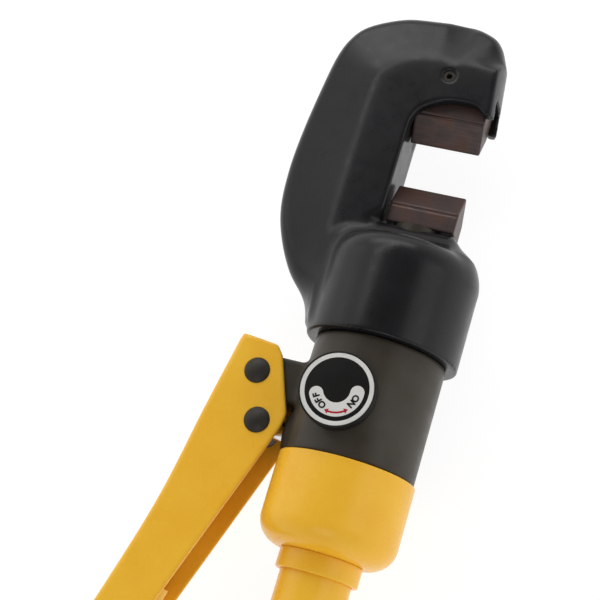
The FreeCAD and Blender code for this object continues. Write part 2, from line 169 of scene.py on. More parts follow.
def grain(tree: bpy.types.NodeTree, place: bpy.types.NodeSocket, size: float, detail: float = 2.0,
          stretch: tuple[float, float, float] = (1.0, 1.0, 1.0)) -> bpy.types.NodeSocket:
    """Noise whose features are a real size, stretched along an axis if asked.

    Args:
        tree: Node tree that takes the nodes.
        place: Socket of object coordinates.
        size: Size of a feature in millimetres.
        detail: Octaves of finer noise.
        stretch: Scale along each axis, under one to draw features out.

    Returns:
        The noise value's socket.
    """
    mapped = add_node(tree, "Mapping", {"Vector": place, "Scale": stretch}).outputs[0]
    return add_node(tree, "TexNoise", {"Vector": mapped, "Scale": per_millimetre(size),
                                       "Detail": detail}).outputs["Fac"]


def relief(tree: bpy.types.NodeTree, height: bpy.types.NodeSocket, depth: float,
           under: bpy.types.NodeSocket | None = None) -> bpy.types.NodeSocket:
    """Bump of a depth in millimetres, laid over another one.

    Args:
        tree: Node tree that takes the node.
        height: Socket that gives the height, from zero to one.
        depth: Height of one, in millimetres.
        under: Normal of the bump below, if any.

    Returns:
        The normal's socket.
    """
    inputs = {"Height": height, "Distance": depth * MM}
    if under is not None:
        inputs["Normal"] = under
    return add_node(tree, "Bump", inputs).outputs[0]


def spread(tree: bpy.types.NodeTree, value: bpy.types.NodeSocket, low: float,
           high: float) -> bpy.types.NodeSocket:
    """Noise value mapped from its usual range to a low and a high number."""
    inputs = {"Value": value, "From Min": 0.3, "From Max": 0.7, "To Min": low, "To Max": high}
    return add_node(tree, "MapRange", inputs).outputs[0]


def connect(tree: bpy.types.NodeTree, shader: bpy.types.Node, tint: bpy.types.NodeSocket,
            gloss: bpy.types.NodeSocket, normal: bpy.types.NodeSocket) -> None:
    """Link a finish's colour, roughness and normal to its shader."""
    for name, socket in (("Base Color", tint), ("Roughness", gloss), ("Normal", normal)):
        tree.links.new(socket, shader.inputs[name])


@dataclass(frozen=True)
class Enamel(Finish):
    """Sprayed enamel on steel: an even colour, faint orange peel and a soft gloss over the metal's waves."""

    shades: tuple[str, str]
    gloss: tuple[float, float] = (0.3, 0.38)
    waves: float = 0.05
    peel: float = 0.006
    shine: float = 0.35

    def dress(self, tree: bpy.types.NodeTree, shader: bpy.types.Node, place: bpy.types.NodeSocket) -> None:
        """Colour drift over 20 mm, forging waves over 7 mm and orange peel about 1 mm across."""
        drift = grain(tree, place, 20.0, 3.0)
        shader.inputs["Specular IOR Level"].default_value = self.shine
        tint = ramp(tree, drift, [(0.35, self.shades[0]), (0.65, self.shades[1])])
        gloss = spread(tree, grain(tree, place, 6.0), *self.gloss)
        waves = relief(tree, grain(tree, place, 7.0), self.waves)
        connect(tree, shader, tint, gloss, relief(tree, grain(tree, place, 1.0, 0.0), self.peel, waves))


@dataclass(frozen=True)
class TintedSteel(Finish):
    """Ground tool steel with a heat-tinted oxide skin: brown to mauve patches over fine grinding lines."""

    shades: tuple[str, str, str]

    def dress(self, tree: bpy.types.NodeTree, shader: bpy.types.Node, place: bpy.types.NodeSocket) -> None:
        """Patches about 9 mm across and grinding lines along X, drawn 0.4 mm wide so that they show."""
        shader.inputs["Metallic"].default_value = 0.35
        patches = grain(tree, place, 9.0, 4.0)
        tint = ramp(tree, patches, [(0.38, self.shades[0]), (0.5, self.shades[1]), (0.62, self.shades[2])])
        lines = grain(tree, place, 0.4, 2.0, (0.06, 1.0, 1.0))
        darker = add_node(tree, "Mix", {0: spread(tree, lines, 0.0, 0.35), 6: tint, 7: colour("#2a1f1d")},
                          data_type="RGBA")
        connect(tree, shader, darker.outputs[2], spread(tree, lines, 0.34, 0.5), relief(tree, lines, 0.01))


@dataclass(frozen=True)
class Machined(Finish):
    """Bare metal off a machine: metallic, with fine tool marks and a little smear."""

    shades: tuple[str, str]
    gloss: tuple[float, float] = (0.22, 0.36)
    marks: float = 0.004
    mark_size: float = 0.35

    def dress(self, tree: bpy.types.NodeTree, shader: bpy.types.Node, place: bpy.types.NodeSocket) -> None:
        """Tool marks round the piece, drawn 0.35 mm wide so that they show, and smears about 5 mm across."""
        shader.inputs["Metallic"].default_value = 1.0
        smear = grain(tree, place, 5.0, 3.0)
        tint = ramp(tree, smear, [(0.35, self.shades[0]), (0.65, self.shades[1])])
        marks = grain(tree, place, self.mark_size, 1.0, (0.2, 1.0, 0.2))
        connect(tree, shader, tint, spread(tree, marks, *self.gloss), relief(tree, marks, self.marks))


@dataclass(frozen=True)
class Moulded(Finish):
    """Moulded plastic or rubber: one colour through, with the mould's fine spark-eroded grain."""

    shades: tuple[str, str]
    gloss: tuple[float, float] = (0.42, 0.55)
    texture: float = 0.5
    depth: float = 0.02
    shine: float = 0.25

    def dress(self, tree: bpy.types.NodeTree, shader: bpy.types.Node, place: bpy.types.NodeSocket) -> None:
        """Colour drift over 12 mm and the mould's grain, its size given by the texture field."""
        shader.inputs["Specular IOR Level"].default_value = self.shine
        tint = ramp(tree, grain(tree, place, 12.0, 3.0), [(0.35, self.shades[0]), (0.65, self.shades[1])])
        pits = grain(tree, place, self.texture, 2.0)
        connect(tree, shader, tint, spread(tree, pits, *self.gloss), relief(tree, pits, self.depth))


@dataclass(frozen=True)
class FinishSet:
    """Every material of the tool, made once."""

    head: bpy.types.Material
    black: bpy.types.Material
    yellow: bpy.types.Material
    die: bpy.types.Material
    chrome: bpy.types.Material
    steel: bpy.types.Material
    dark_steel: bpy.types.Material
    spring: bpy.types.Material
    bronze: bpy.types.Material
    seal: bpy.types.Material
    grip: bpy.types.Material
    knob: bpy.types.Material
    disc: bpy.types.Material
    white_ink: bpy.types.Material
    red_ink: bpy.types.Material

    @classmethod
    def make(cls) -> FinishSet:
        """Build the whole set from the finishes' recipes."""
        recipes = {
            "head": Enamel("gloss_black_enamel", ("#101013", "#16161a"), (0.26, 0.33), 0.03, 0.003, 0.3),
            "black": Enamel("satin_black_oxide", ("#3b352d", "#443f38"), (0.32, 0.42), 0.01, 0.003, 0.22),
            "yellow": Enamel("yellow_powder_coat", ("#f7bb31", "#fac239"), (0.24, 0.32), 0.01, 0.003, 0.3),
            "die": TintedSteel("heat_tinted_tool_steel", ("#483c3c", "#513f3c", "#583d35")),
            "chrome": Machined("hard_chrome", ("#c9c9cb", "#e2e2e3"), (0.08, 0.16), 0.001),
            "steel": Machined("machined_steel", ("#8e8c88", "#aaa8a4")),
            "dark_steel": Enamel("phosphated_steel", ("#2a2623", "#37322d"), (0.36, 0.5), 0.03, 0.02, 0.25),
            "spring": Machined("oil_tempered_wire", ("#4a4946", "#63615d")),
            "bronze": Machined("cast_bronze", ("#8a6234", "#a97b45")),
            "seal": Moulded("nitrile_rubber", ("#151515", "#1d1d1d"), (0.4, 0.55), 0.4, 0.01),
            "grip": Moulded("grip_rubber", ("#161616", "#202020"), (0.55, 0.7), 0.7, 0.05),
            "knob": Moulded("black_acetal", ("#131313", "#1a1a1a"), (0.36, 0.46), 0.5, 0.012),
            "disc": Moulded("printed_black", ("#0d0d0d", "#131312"), (0.3, 0.4), 0.4, 0.004),
            "white_ink": Moulded("white_ink", ("#d3d3d1", "#dedddb"), (0.4, 0.5), 0.4, 0.004),
            "red_ink": Moulded("red_ink", ("#9c1523", "#b01c2b"), (0.4, 0.5), 0.4, 0.004),
        }
        return cls(**{part: recipe.material() for part, recipe in recipes.items()})


# ---- Plane curves -------------------------------------------------------------------------------
def smooth_line(points: Points, per_span: int = 10) -> Array:
    """Points along a smooth line through the given ones.

    Each span is the cubic that passes through its two ends with the slope of the chord between their
    neighbours, and the line's ends are reflected to give the first and last slope.

    Args:
        points: Points that the line passes through.
        per_span: Points made for each span.

    Returns:
        An array of points, one row each.
    """
    known = np.asarray(points, float)
    padded = np.vstack([2 * known[0] - known[1], known, 2 * known[-1] - known[-2]])
    spans = len(known) - 1
    a, b, c, d = (padded[i:i + spans, None, :] for i in range(4))
    t = np.linspace(0.0, 1.0, per_span, endpoint=False)[None, :, None]
    line = 0.5 * (2 * b + (c - a) * t + (2 * a - 5 * b + 4 * c - d) * t ** 2 + (3 * (b - c) + d - a) * t ** 3)
    return np.vstack([line.reshape(-1, 2), known[-1:]])


def rounded(corners: Sequence[tuple[float, float, float]], closed: bool = False, steps: int = 7) -> Array:
    """Line through corners, each one rounded by an arc of its own radius.

    An arc touches both runs at radius times the tangent of half the turn from the corner, and its points
    come from turning the start radius by equal steps.

    Args:
        corners: Place of each corner and its radius, nought for a sharp one.
        closed: True for a loop.
        steps: Points on each arc.

    Returns:
        An array of points, one row each.
    """
    rows = []
    count = len(corners)
    for i, (x, y, radius) in enumerate(corners):
        here = np.array([x, y])
        if radius <= 0 or (not closed and i in (0, count - 1)):
            rows.append(here[None])
            continue
        back = np.array(corners[i - 1][:2]) - here
        ahead = np.array(corners[(i + 1) % count][:2]) - here
        back /= np.linalg.norm(back)
        ahead /= np.linalg.norm(ahead)
        half = math.acos(float(np.clip(back @ ahead, -1, 1))) / 2
        middle = here + (back + ahead) / np.linalg.norm(back + ahead) * radius / math.sin(half)
        start = here + back * radius / math.tan(half) - middle
        turn = np.sign(back[1] * ahead[0] - back[0] * ahead[1]) * (math.pi - 2 * half)
        angles = np.linspace(0, turn, steps)
        cos, sin = np.cos(angles), np.sin(angles)
        rows.append(middle + np.stack([start[0] * cos - start[1] * sin, start[0] * sin + start[1] * cos], 1))
    return np.vstack(rows)


# ---- Distance fields ----------------------------------------------------------------------------
def line_distance(x: Array, y: Array, line: Array) -> Array:
    """Distance in a plane from each sample to a chain of straight runs.

    Args:
        x: First coordinate of the samples.
        y: Second coordinate, of the same shape.
        line: Points of the chain, one row each.

    Returns:
        Distances, of the samples' shape.
    """
    start, run = line[:-1], np.diff(line, axis=0)
    dx = x[..., None] - start[:, 0]
    dy = y[..., None] - start[:, 1]
    share = np.clip((dx * run[:, 0] + dy * run[:, 1]) / (run ** 2).sum(1), 0, 1)
    return np.sqrt(((dx - share * run[:, 0]) ** 2 + (dy - share * run[:, 1]) ** 2).min(-1))


def within(x: Array, y: Array, loop: Array) -> Array:
    """Tell which samples a closed loop holds: a ray from each one crosses the loop an odd number of times."""
    start, end = loop, np.roll(loop, -1, axis=0)
    level = y[..., None]
    crosses = (start[:, 1] > level) != (end[:, 1] > level)
    rise = np.where(end[:, 1] == start[:, 1], 1.0, end[:, 1] - start[:, 1])
    meets = start[:, 0] + (level - start[:, 1]) * (end[:, 0] - start[:, 0]) / rise
    return (crosses & (x[..., None] < meets)).sum(-1) % 2 == 1


def loop_distance(x: Array, y: Array, loop: Array) -> Array:
    """Signed distance to a closed loop, negative inside it."""
    far = line_distance(x, y, np.vstack([loop, loop[:1]]))
    return np.where(within(x, y, loop), -far, far)


def common(a: Array, b: Array, blend: Array | float) -> Array:
    """Field of what two fields share, their meeting edge rounded over about the blend length.

    Where the two differ by less than the blend, the greater is raised by a parabola that is a quarter of
    the blend high where they are equal.
    """
    near = np.maximum(blend - np.abs(a - b), 0.0) / blend
    return np.maximum(a, b) + near * near * blend / 4


def joined(a: Array, b: Array, blend: Array | float) -> Array:
    """Field of two fields joined, with a fillet of about the blend length where they meet."""
    return -common(-a, -b, blend)


def without(a: Array, hole: Array, blend: float = 0.5) -> Array:
    """Field with a hole's field cut out of it, the hole's mouth slightly rounded."""
    return common(a, -hole, blend)


def rod(across: Array, other: Array, centre: tuple[float, float], radius: float) -> Array:
    """Field of an endless round rod, from the two coordinates across it."""
    return np.sqrt((across - centre[0]) ** 2 + (other - centre[1]) ** 2) - radius


def slab(value: Array, low: float, high: float) -> Array:
    """Field of everything between two values of one coordinate."""
    return np.abs(value - (low + high) / 2) - (high - low) / 2


@dataclass(frozen=True)
class Lattice:
    """Block of evenly spaced sample points, in millimetres, with stations for its second axis."""

    low: tuple[float, float, float]
    high: tuple[float, float, float]
    step: float

    def axes(self) -> tuple[Array, Array, Array]:
        """Sample coordinates along X, the stations and Z, shaped to spread over the block."""
        runs = [np.arange(a - self.step * 1.37, b + self.step * 2.41, self.step)
                for a, b in zip(self.low, self.high)]
        return runs[0][:, None, None], runs[1][None, :, None], runs[2][None, None, :]


def surface_net(values: Array, lattice: Lattice) -> tuple[Array, Array]:
    """Mesh of the zero level of a sampled field, by surface nets.

    Each cell of the lattice that the surface crosses gets one point, the mean of the places where the
    field changes sign along the cell's twelve edges. Each lattice edge with a change of sign gets one
    quad between the four cells round it, turned to face the positive side.

    Args:
        values: Field at every point of the lattice, negative inside.
        lattice: Where the samples lie.

    Returns:
        Points in millimetres and stations, and quads of point numbers.
    """
    inside = values < 0
    shape = np.array(values.shape) - 1
    corners = [inside[i:shape[0] + i, j:shape[1] + j, k:shape[2] + k]
               for i in (0, 1) for j in (0, 1) for k in (0, 1)]
    held = np.add.reduce([corner.astype(np.int8) for corner in corners])
    active = (held > 0) & (held < 8)
    cells = np.argwhere(active)
    number = np.full(active.shape, -1, np.int64)
    number[active] = np.arange(len(cells))
    total = np.zeros((len(cells), 3))
    hits = np.zeros(len(cells))
    unit = np.eye(3, dtype=int)
    quads = []
    for axis in range(3):
        u, v = unit[(axis + 1) % 3], unit[(axis + 2) % 3]
        for offset in (0 * u, u, v, u + v):
            near, far = cells + offset, cells + offset + unit[axis]
            a, b = values[tuple(near.T)], values[tuple(far.T)]
            crossed = (a < 0) != (b < 0)
            share = np.where(crossed, a / np.where(crossed, a - b, 1.0), 0.0)
            total += np.where(crossed[:, None], offset + share[:, None] * unit[axis], 0.0)
            hits += crossed
        lower = inside[tuple(slice(0, n) if axis == i else slice(1, n) for i, n in enumerate(shape))]
        upper = inside[tuple(slice(1, n + 1) if axis == i else slice(1, n) for i, n in enumerate(shape))]
        edges = np.argwhere(lower != upper) + u + v
        facing = inside[tuple(edges.T)]
        ring = np.stack([number[tuple((edges - back).T)] for back in (u + v, v, 0 * u, u)], 1)
        quads.append(np.where(facing[:, None], ring, ring[:, ::-1]))
    starts = np.array([run.ravel()[0] for run in lattice.axes()])
    return starts + (cells + total / hits[:, None]) * lattice.step, np.vstack(quads)


# ---- Pieces -------------------------------------------------------------------------------------
def make_piece(name: str, points: Array, faces: Array | list, finish: bpy.types.Material,
               body: Body, replaces: Sequence[str] = (), crease: float = 40.0) -> bpy.types.Object:
    """Turn points and faces into a finished piece that rides on a body.

    Args:
        name: Name of the piece.
        points: Points in millimetres, with stations for the second coordinate.
        faces: Faces as point numbers.
        finish: Material of the piece.
        body: Body that it moves with.
        replaces: CAD nodes that it stands for.
        crease: Angle in degrees past which an edge is sharp.

    Returns:
        The new object.
    """
    placed = np.asarray(points, float) + (0.0, CUP_RIM_Y, 0.0)
    mesh = bpy.data.meshes.new(name)
    mesh.from_pydata((placed * MM).tolist(), [], faces.tolist() if isinstance(faces, Array) else faces)
    mesh.validate()
    mesh.shade_smooth()
    mesh.set_sharp_from_angle(angle=math.radians(crease))
    mesh.materials.append(finish)
    piece = bpy.data.objects.new(name, mesh)
    bpy.context.scene.collection.objects.link(piece)
    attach(piece, body.value)
    if replaces:
        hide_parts(*replaces)
    LOG.info("%s: %d faces", name, len(mesh.polygons))
    return piece


def net_piece(name: str, values: Array, lattice: Lattice, finish: bpy.types.Material, body: Body,
              replaces: Sequence[str]) -> bpy.types.Object:
    """Make a piece from a sampled field."""
    points, quads = surface_net(values, lattice)
    return make_piece(name, points, quads, finish, body, replaces, crease=50.0)


def turned_piece(name: str, profile: Array, centre: tuple[float, float, float], turning: Turning,
                 finish: bpy.types.Material, body: Body, replaces: Sequence[str] = (), closed: bool = True,
                 steps: int = 96) -> bpy.types.Object:
    """Make a piece by carrying a profile round an axis.

    A point of the grid is the centre, plus its height along the axis, plus its radius times the cosine
    and sine of its angle across the axis.

    Args:
        name: Name of the piece.
        profile: Radius and height of each point.
        centre: Where the axis starts, as X, station and Z.
        turning: Direction of the axis.
        finish: Material of the piece.
        body: Body that it moves with.
        replaces: CAD nodes that it stands for.
        closed: True when the profile is a loop clear of the axis, False when both ends are on the axis.
        steps: Points round the axis.

    Returns:
        The new object.
    """
    axis = np.array(turning.value)
    across = np.array([1.0, 0.0, 0.0]) if turning is Turning.UP else np.array([0.0, 0.0, 1.0])
    other = np.cross(axis, across)
    angle = np.linspace(0, 2 * math.pi, steps, endpoint=False)
    circle = np.cos(angle)[:, None] * across + np.sin(angle)[:, None] * other
    points = np.array(centre) + profile[:, None, 1:] * axis + profile[:, None, :1] * circle
    rows = len(profile)
    row = np.arange(rows if closed else rows - 1)[:, None]
    column = np.arange(steps)[None, :]
    below, after = (row + 1) % rows, (column + 1) % steps
    quads = np.stack([row * steps + column, row * steps + after,
                      below * steps + after, below * steps + column], -1).reshape(-1, 4)
    flat = points.reshape(-1, 3)
    if closed:
        return make_piece(name, flat, oriented(flat, quads), finish, body, replaces)
    merged = np.arange(len(flat))
    merged[:steps] = 0
    merged[-steps:] = len(flat) - 1
    quads = merged[quads]
    faces = [[a for i, a in enumerate(quad) if a != quad[i - 1]] for quad in oriented(flat, quads).tolist()]
    kept = np.unique(np.concatenate([np.array(face) for face in faces]))
    lookup = np.full(len(flat), -1)
    lookup[kept] = np.arange(len(kept))
    return make_piece(name, flat[kept], [[int(lookup[a]) for a in face] for face in faces], finish, body,
                      replaces)


def oriented(points: Array, quads: Array) -> Array:
    """Turn every quad round when the closed shape's signed volume is negative.

    The volume is a sixth of the sum, over both triangles of each quad, of their corners' triple product.
    """
    a, b, c, d = (points[quads[:, i]] for i in range(4))
    volume = (a * np.cross(b, c)).sum() + (a * np.cross(c, d)).sum()
    return quads if volume > 0 else quads[:, ::-1]


def dress_nodes(finish: bpy.types.Material, *nodes: str) -> None:
    """Give a finish to CAD nodes that are shown as they are.

    Args:
        finish: Material for all of them.
        *nodes: Names of the nodes.
    """
    for name in nodes:
        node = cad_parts[name]
        if node.material_slots:
            node.material_slots[0].material = finish
        else:
            node.data.materials.append(finish)


# ---- Head ---------------------------------------------------------------------------------------
RIDGE = smooth_line([(-35.4, 40.0), (-35.4, 64.0), (-37.0, 84.0), (-37.2, 130.0), (-37.0, 178.0),
                     (-33.3, 187.6), (-21.5, 194.8), (0.0, 196.8), (18.7, 197.4)])
RIM = smooth_line([(-36.8, 60.2), (-42.2, 71.3), (-52.5, 83.0), (-60.6, 97.4), (-65.5, 112.0), (-67.2, 130.0),
                   (-66.7, 148.5), (-64.6, 170.4), (-61.4, 192.9), (-56.7, 204.9), (-49.1, 212.4),
                   (-34.0, 218.8), (-19.5, 220.5), (-2.0, 220.8), (9.8, 217.8), (15.6, 212.8), (20.1, 203.0)])
ARCH = smooth_line([(18.0, 172.7), (13.1, 176.5), (6.8, 177.1), (-0.1, 176.5), (-5.0, 174.8),
                    (-10.5, 171.7), (-13.3, 168.0), (-14.7, 163.6), (-15.0, 158.0)])
NOSE_FOOT = np.array([[23.1, 172.6]])
THROAT = np.array([[-15.0, 113.9], [19.0, 113.9], [34.0, 98.0]])
INSIDE_COLLAR = np.array([[30.0, 93.5], [-29.0, 93.5], [-29.0, 59.0]])


@dataclass(frozen=True)
class Head:
    """Forged C head and its collar: flat cheeks inside a ridge, and a band that slopes to a thin rim."""

    finishes: FinishSet
    grid: Lattice = Lattice((-67.5, 54.6, -34.9), (34.9, 221.7, 34.9), 0.82)
    cheek: float = 14.0
    rim: float = 6.0
    ridge_softness: float = 2.5
    jaw_round: float = 1.2
    foot_round: float = 10.0
    rim_round: float = 5.5
    foot_station: float = 119.0
    foot_fade: float = 6.0
    collar_radius: float = 34.9
    collar_top: float = 104.5
    collar_bottom: float = 54.6
    collar_round: float = 14.0
    fillet: float = 6.0
    crown: float = 2.4
    dimple_x: float = -4.0
    dimple_radius: float = 13.0
    dimple_depth: float = 0.2
    dimple_tilt: float = 5.5
    dimple_station: float = 196.5
    band_width: float = 25.0
    socket: tuple[float, float] = (28.05, 92.05)
    guide_bore: float = 15.0
    rod_bore: float = 11.3
    slot_half: float = 8.3
    slot_back: float = -15.3
    stem_x: float = -2.9
    stem_bore: float = 5.05
    screw_station: float = 188.9
    screw_bore: float = 3.0

    def half_thickness(self, x: Array, s: Array) -> Array:
        """Half thickness across the plan, from the cheek's inside the ridge down to the rim's.

        The share of the way from the ridge to the rim falls the same way, and the fold at the ridge is
        softened by taking half of d plus the root of d squared plus a softness squared for the distance d.
        """
        loop = np.vstack([RIDGE, [[60.0, 197.4], [60.0, 40.0]]])
        past = np.where(within(x, s, loop), -1.0, 1.0) * line_distance(x, s, RIDGE)
        to_rim = line_distance(x, s, RIM)
        folded = (past + np.sqrt(past ** 2 + self.ridge_softness ** 2)) / 2
        share = np.clip(folded / (np.abs(past) + to_rim), 0, 1)
        return self.cheek - (self.cheek - self.rim) * share

    def plate(self, x: Array, s: Array, z: Array) -> Array:
        """C plate, its edge rounded hardly at all in the jaw, more at the foot and most along the rim."""
        outline = np.vstack([RIM, NOSE_FOOT, ARCH, THROAT, INSIDE_COLLAR])
        jaw = np.vstack([RIM[-1:], NOSE_FOOT, ARCH, THROAT])
        to_jaw, to_rim = line_distance(x, s, jaw), line_distance(x, s, RIM)
        share = (to_jaw / (to_jaw + to_rim + 1e-6)) ** 2
        foot = np.clip((self.foot_station - s) / self.foot_fade, 0, 1)
        inner = self.jaw_round + (self.foot_round - self.jaw_round) * foot
        blend = inner * (1 - share) + self.rim_round * share
        edge = np.maximum(loop_distance(x, s, outline), self.front(x, s, z))
        return common(np.abs(z) - self.half_thickness(x, s), edge, blend)

    def front(self, x: Array, s: Array, z: Array) -> Array:
        """Crowned front of the nose: its straight front line, drawn back by the square of the height."""
        start, end = RIM[-1], NOSE_FOOT[0]
        run = (end - start) / np.linalg.norm(end - start)
        return (start[0] - x) * run[1] - (start[1] - s) * run[0] + self.crown * (z / self.cheek) ** 2

    def dimple(self, x: Array, s: Array, z: Array) -> Array:
        """Shallow round flute down the sloping band, on both sides of the head.

        Its axis is steeper than the band's slope, so that the flute starts at the ridge and deepens outwards.
        """
        slope = math.atan2(self.cheek - self.rim, self.band_width) + math.radians(self.dimple_tilt)
        above = (s - self.dimple_station) * math.sin(slope) + (np.abs(z) - self.cheek) * math.cos(slope)
        reach = self.dimple_radius - self.dimple_depth
        return np.sqrt((x - self.dimple_x) ** 2 + (above - reach) ** 2) - self.dimple_radius

    def cavities(self, x: Array, s: Array, z: Array) -> Array:
        """Socket for the body, guide and rod bores, die slot, stem hole and set screw's hole."""
        rho = np.sqrt(x ** 2 + z ** 2)
        holes = [
            np.maximum(rho - self.socket[0], s - self.socket[1]),
            np.maximum(rho - self.guide_bore, slab(s, 90.0, 106.0)),
            np.maximum(rho - self.rod_bore, slab(s, 104.0, 116.0)),
            np.maximum(np.maximum(np.abs(z) - self.slot_half, slab(s, 157.0, 182.5)), self.slot_back - x),
            np.maximum(rod(x, z, (self.stem_x, 0.0), self.stem_bore), slab(s, 181.0, 195.5)),
            np.maximum(rod(x, s, (self.stem_x, self.screw_station), self.screw_bore), -z),
        ]
        return np.minimum.reduce([hole + 0 * (x + s + z) for hole in holes])

    def build(self) -> list[bpy.types.Object]:
        """Make the head from its plate, collar, dimple and cavities."""
        x, s, z = self.grid.axes()
        rho = np.sqrt(x ** 2 + z ** 2)
        collar = common(rho - self.collar_radius, s - self.collar_top, self.collar_round)
        collar = common(collar, self.collar_bottom - s, 1.0)
        body = joined(self.plate(x, s, z), collar, self.fillet)
        body = without(body, self.dimple(x, s, z), 1.5)
        limits = np.maximum(x - self.collar_radius, self.collar_bottom - s)
        limits = np.maximum(limits, np.abs(z) - self.collar_radius)
        body = np.maximum(without(body, self.cavities(x, s, z), 0.4), limits)
        return [net_piece("forged_head", body, self.grid, self.finishes.head, Body.FRAME, ["head_frame"])]


@dataclass(frozen=True)
class Die:
    """Wedge-shaped die with a flat land, bevelled flanks, a witness groove on each side and a round stem."""

    name: str
    node: str
    body: Body
    edge: float
    toward: float
    length: float
    shoulder: float
    back: float
    stem_x: float
    stem_radius: float
    stem_length: float
    front: float = 18.3
    half: float = 8.0
    land: float = 0.5
    groove_depth: float = 0.6
    step: float = 0.36

    def build(self, finish: bpy.types.Material) -> bpy.types.Object:
        """Make the die; distances along it are measured from its working edge towards its stem."""
        tip, end = sorted((self.edge, self.edge + self.toward * (self.length + self.stem_length)))
        grid = Lattice((self.back, tip, -self.half), (self.front, end, self.half), self.step)
        x, s, z = grid.axes()
        t = (s - self.edge) * self.toward
        width, rise = self.half - self.land, self.shoulder
        flank = ((np.abs(z) - self.land) * rise - t * width) / math.hypot(width, rise)
        block = common(common(np.abs(z) - self.half, flank, 0.4), -t, 0.3)
        block = common(block, common(slab(x, self.back, self.front), t - self.length, 0.8), 0.8)
        across = self.half - self.groove_depth - np.abs(z)
        groove = np.maximum(across, slab(t, self.shoulder + 0.8, self.shoulder + 1.6))
        block = without(block, groove, 0.3)
        stem = common(rod(x, z, (self.stem_x, 0.0), self.stem_radius),
                      slab(t, self.length - 1.0, self.length + self.stem_length), 0.8)
        return net_piece(self.name, np.minimum(block, stem), grid, finish, self.body, [self.node])


@dataclass(frozen=True)
class Dies:
    """Fixed die in the jaw's slot and moving die on the ram."""

    finishes: FinishSet

    def build(self) -> list[bpy.types.Object]:
        """Make both dies."""
        upper = Die("upper_die", "fixed_die", Body.FRAME, 158.0, 1.0, 24.4, 11.5, -15.0, -2.9, 5.0, 12.6)
        lower = Die("lower_die", "moving_die", Body.RAM, 135.7, -1.0, 20.7, 11.1, -14.0, 0.0, 4.5, 12.0,
                    groove_depth=0.25)
        return [die.build(self.finishes.die) for die in (upper, lower)]


# ---- Body and pump ------------------------------------------------------------------------------
@dataclass(frozen=True)
class CylinderBody:
    """Black cylinder body with the pivot's ear and the pump's boss blended into it, bored and drilled."""

    finishes: FinishSet
    grid: Lattice = Lattice((-58.7, -14.0, -30.0), (30.0, 91.9, 30.0), 0.73)
    radius: float = 30.0
    pivot: tuple[float, float] = (-49.0, 31.0)
    pump_station: float = 9.3
    boss_radius: float = 10.6
    boss_face: float = -30.5
    ear_height: float = 9.7
    ear_half: float = 11.0
    fillet: float = 3.0
    main_bore: float = 20.0
    plunger_bore: float = 4.55
    gland_bore: float = 8.0
    valve_bore: float = 4.0
    oil_bore: float = 1.2
    pin_bore: float = 4.05
    intake: tuple[float, float] = (-16.0, 0.0)
    outlet: tuple[float, float] = (-12.5, 0.0)
    relief_hole: tuple[float, float] = (12.0, -8.0)
    knob: tuple[float, float] = (-6.2, 26.3)

    def outside(self, x: Array, s: Array, z: Array) -> Array:
        """Barrel, its two screwed ends, the boss and the ear."""
        rho = np.sqrt(x ** 2 + z ** 2)
        barrel = common(rho - self.radius, slab(s, 0.1, 54.55), 0.9)
        ends = np.minimum(common(rho - 27.8, slab(s, -14.0, 10.0), 1.5),
                          common(rho - 28.0, slab(s, 40.0, 91.9), 1.5))
        boss = rod(s, z, (self.pump_station, 0.0), self.boss_radius)
        boss = common(boss, slab(x, self.boss_face, -10.0), 1.6)
        axis = np.array([[self.pivot[0], 30.7], [-15.0, 30.7]])
        ear = line_distance(x + 0 * s, s + 0 * x, axis) - self.ear_height
        ear = common(ear, np.abs(z) - self.ear_half, 1.6)
        body = joined(joined(barrel, boss, self.fillet), ear, self.fillet)
        return np.maximum(np.minimum(body, ends), -14.0 - s)

    def drillings(self, x: Array, s: Array, z: Array) -> Array:
        """Main bore, pump bore with its gland pocket, valve holes, spindle hole and pivot hole."""
        rho = np.sqrt(x ** 2 + z ** 2)
        pump = (self.pump_station, 0.0)
        holes = [
            np.maximum(rho - self.main_bore, 23.0 - s),
            np.maximum(rod(s, z, pump, self.plunger_bore), x + 7.5),
            np.maximum(rod(s, z, pump, self.gland_bore), x + 26.0),
            np.maximum(rod(x, z, self.intake, self.valve_bore), s - 2.0),
            np.maximum(rod(x, z, self.intake, self.oil_bore), s - self.pump_station),
            np.maximum(rod(x, z, self.outlet, self.oil_bore), slab(s, self.pump_station, 16.0)),
            np.maximum(rod(x, z, self.outlet, self.valve_bore), slab(s, 15.0, 24.0)),
            np.maximum(rod(x, z, self.relief_hole, self.valve_bore), s - 16.0),
            np.maximum(rod(x, z, self.relief_hole, self.oil_bore), slab(s, 15.0, 24.0)),
            np.maximum(rod(x, s, self.knob, self.pin_bore), 22.4 - z),
            np.maximum(rod(x, s, self.pivot, self.pin_bore), 0 * z - 1.0),
        ]
        return np.minimum.reduce([hole + 0 * (x + s + z) for hole in holes])

    def build(self) -> list[bpy.types.Object]:
        """Make the body, and dress the pump's and the valves' own pieces."""
        x, s, z = self.grid.axes()
        body = without(self.outside(x, s, z), self.drillings(x, s, z), 0.5)
        piece = net_piece("cylinder_casting", body, self.grid, self.finishes.black, Body.FRAME,
                          ["cylinder_body"])
        dress_nodes(self.finishes.steel, "intake_seat", "intake_ball", "outlet_ball", "outlet_retainer",
                    "relief_ball", "relief_screw", "release_ball", "release_spindle", "suction_screen",
                    "fill_plug", "bladder_ring")
        dress_nodes(self.finishes.dark_steel, "gland_nut", "head_set_screw")
        dress_nodes(self.finishes.black, "ram")
        dress_nodes(self.finishes.spring, "return_spring", "intake_spring", "outlet_spring", "relief_spring",
                    "die_ring")
        dress_nodes(self.finishes.seal, "rod_wiper", "piston_seal", "plunger_seal", "spindle_o_ring",
                    "oil_bladder")
        dress_nodes(self.finishes.bronze, "guide_bush")
        return [piece]


